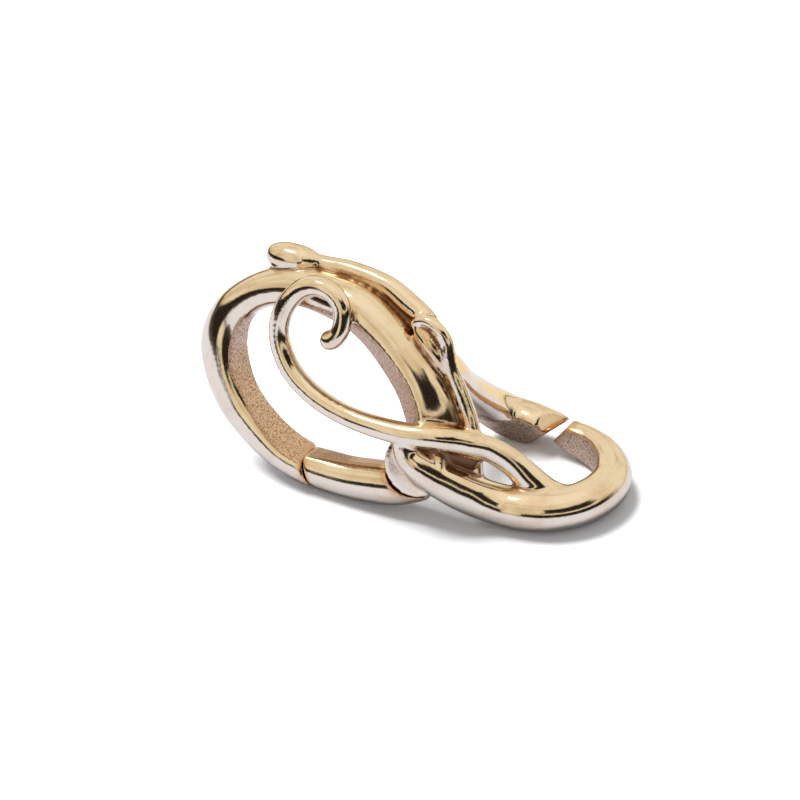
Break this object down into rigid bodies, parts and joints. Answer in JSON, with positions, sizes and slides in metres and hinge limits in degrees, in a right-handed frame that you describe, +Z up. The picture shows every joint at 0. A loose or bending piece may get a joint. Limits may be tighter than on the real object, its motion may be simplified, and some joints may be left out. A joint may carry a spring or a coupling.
{
  "type": "jewellery clasp",
  "caption": "Cast gold necklace clasp: a leaned oval ring with an inward push gate, joined to a flat open hook, with tendril, rail and bud ornament.",
  "frame": {"origin": "centre of the footprint's bounding box, on the table it lies on", "axes": "+X from the big ring towards the hook, +Y away from the viewer, +Z up from the table; the clasp is stored lying as in the picture"},
  "size_m": [0.0292, 0.013, 0.0156],
  "materials": {
    "cast_gold": "polished yellow gold, the flat inner walls left matte from the casting",
    "gate_gold": "polished yellow gold, matte on the flat that looks into the ring",
    "pin_gold": "polished pin end, flush with the back cheek"
  },
  "bodies": {
    "clasp": {"frame": "cast_gold", "hinge_pin": "pin_gold"},
    "gate": {"gate": "gate_gold"}
  },
  "joints": [
    {"name": "gate_swing", "type": "hinge", "parent": "clasp", "child": "gate", "pos_m": [0.0023, -0.00404, 0.00401], "axis": [0, 0.9397, -0.342], "range_deg": [0, 28], "stiffness_Nm_per_rad": 0.004, "springref_deg": -4.58}
  ]
}
